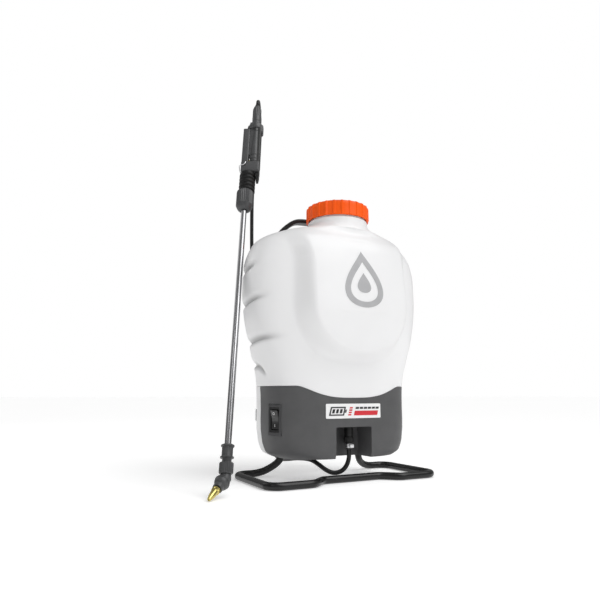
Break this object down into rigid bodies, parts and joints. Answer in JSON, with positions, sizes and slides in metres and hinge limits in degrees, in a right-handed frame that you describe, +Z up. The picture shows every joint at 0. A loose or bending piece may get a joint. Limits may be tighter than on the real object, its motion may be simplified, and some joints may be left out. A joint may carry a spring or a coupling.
{
  "type": "battery backpack sprayer",
  "caption": "Battery backpack sprayer: white tank with orange screw cap, grey pump housing, black tube stand, shoulder straps, hose and steel spray wand.",
  "frame": {"origin": "on the floor under the middle of the stand's front rail", "axes": "+Z up, -Y towards the tank's front, +X towards the battery side"},
  "size_m": [0.52, 0.3754, 0.9172],
  "materials": {
    "tank_white": "satin translucent polyethylene",
    "housing_grey": "fine texture",
    "cap_orange": "satin",
    "stand_black": "semi-gloss powder coat",
    "trim_black": "fine texture",
    "rubber_black": "matt",
    "fitting_grey": "fine texture",
    "steel": "polished tube",
    "zinc": "zinc plated",
    "brass": "machined",
    "label_white": "printed film",
    "fabric_black": "woven nylon",
    "clear_line": "clear PVC",
    "seal_grey": "smooth"
  },
  "bodies": {
    "sprayer": {"tank": "tank_white", "rear_cover": "tank_white", "front_housing": "housing_grey", "stand_tube": "stand_black", "stand_socket_left": "trim_black", "stand_socket_right": "trim_black", "switch_bezel": "trim_black", "switch_body": "trim_black", "battery_dock": "trim_black", "pump_head": "trim_black", "pump_cover": "fitting_grey", "pump_motor": "zinc", "pump_bracket": "zinc", "suction_fitting": "fitting_grey", "suction_filter": "trim_black", "suction_line": "clear_line", "discharge_line": "clear_line", "switch_lead": "rubber_black", "battery_lead": "rubber_black", "outlet_barb": "trim_black", "hose_cuff": "rubber_black", "hose_clamp": "zinc", "label_plate": "label_white", "carry_handle": "trim_black", "handle_bolt_left": "zinc", "handle_bolt_right": "zinc", "shoulder_strap_left": "fabric_black", "shoulder_strap_right": "fabric_black", "buckle_left": "trim_black", "buckle_right": "trim_black", "webbing_left": "fabric_black", "webbing_right": "fabric_black", "strap_anchor_left": "trim_black", "strap_anchor_right": "trim_black", "back_pad": "fabric_black", "hose": "rubber_black"},
    "seal": {"cap_seal": "rubber_black"},
    "liner": {"cap_liner": "seal_grey"},
    "cap": {"cap_shell": "cap_orange"},
    "basket": {"strainer": "trim_black"},
    "rocker": {"switch_rocker": "rubber_black"},
    "battery": {"battery_pack": "trim_black"},
    "latch": {"battery_latch": "cap_orange"},
    "shaft": {"motor_shaft": "steel"},
    "wand": {"handle_body": "fitting_grey", "ribbed_sleeve": "rubber_black", "wand_nut": "fitting_grey", "trigger_pin": "steel", "hose_nut": "fitting_grey", "hose_relief": "rubber_black"},
    "lance": {"wand_tube": "steel", "wand_collar": "fitting_grey", "elbow_nut": "fitting_grey", "elbow": "fitting_grey", "nozzle_ring": "rubber_black"},
    "tip": {"nozzle": "brass"},
    "trigger": {"trigger_lever": "fitting_grey"},
    "plunger": {"valve_plunger": "brass"},
    "clip": {"lock_clip": "steel"}
  },
  "joints": [
    {"name": "cap_lift", "type": "slide", "parent": "sprayer", "child": "seal", "axis": [0, 0, 1], "range_m": [0, 0.24]},
    {"name": "cap_rise", "type": "slide", "parent": "seal", "child": "liner", "axis": [0, 0, 1], "range_m": [0, 0.0095]},
    {"name": "cap_turn", "type": "hinge", "parent": "liner", "child": "cap", "pos_m": [0, 0.042, 0.5407], "axis": [0, 0, 1], "range_deg": [0, 540]},
    {"name": "strainer_lift", "type": "slide", "parent": "sprayer", "child": "basket", "axis": [0, 0, 1], "range_m": [0, 0.11]},
    {"name": "switch_rock", "type": "hinge", "parent": "sprayer", "child": "rocker", "pos_m": [-0.14778, 0.03727, 0.121], "axis": [-0.4226, 0.9063, 0], "range_deg": [0, 11]},
    {"name": "battery_slide", "type": "slide", "parent": "sprayer", "child": "battery", "axis": [1, 0, 0], "range_m": [0, 0.105]},
    {"name": "latch_press", "type": "slide", "parent": "battery", "child": "latch", "axis": [-1, 0, 0], "range_m": [0, 0.003], "stiffness_N_per_m": 300},
    {"name": "motor_spin", "type": "hinge", "parent": "sprayer", "child": "shaft", "pos_m": [-0.046, 0.091, 0.096], "axis": [1, 0, 0], "continuous": true},
    {"name": "wand_lift", "type": "slide", "parent": "sprayer", "child": "wand", "axis": [0, 0, 1], "range_m": [0, 0.12], "deforming": ["hose"]},
    {"name": "lance_turn", "type": "hinge", "parent": "wand", "child": "lance", "pos_m": [-0.19332, 0.11766, 0.51494], "axis": [0.165, 0.3089, 0.9367], "continuous": true},
    {"name": "nozzle_turn", "type": "hinge", "parent": "lance", "child": "tip", "pos_m": [-0.28409, -0.0417, 0.02459], "axis": [-0.6782, -0.5883, -0.4405], "range_deg": [0, 360]},
    {"name": "trigger_pull", "type": "hinge", "parent": "wand", "child": "trigger", "pos_m": [-0.16683, 0.17577, 0.68541], "axis": [0.4412, 0.8263, -0.3502], "range_deg": [0, 6], "stiffness_Nm_per_rad": 3, "springref_deg": -2.86},
    {"name": "plunger_push", "type": "slide", "parent": "wand", "child": "plunger", "axis": [0.8821, -0.471, 0], "range_m": [0, 0.0026]},
    {"name": "clip_swing", "type": "hinge", "parent": "wand", "child": "clip", "pos_m": [-0.16375, 0.1773, 0.6929], "axis": [0.4412, 0.8263, -0.3502], "range_deg": [0, 60]}
  ],
  "couplings": [
    {"joint": "cap_rise", "follows": "cap_turn", "m_per_rad": 0.001},
    {"joint": "strainer_lift", "follows": "cap_lift", "ratio": 0.45},
    {"joint": "plunger_push", "follows": "trigger_pull", "m_per_rad": 0.024}
  ]
}
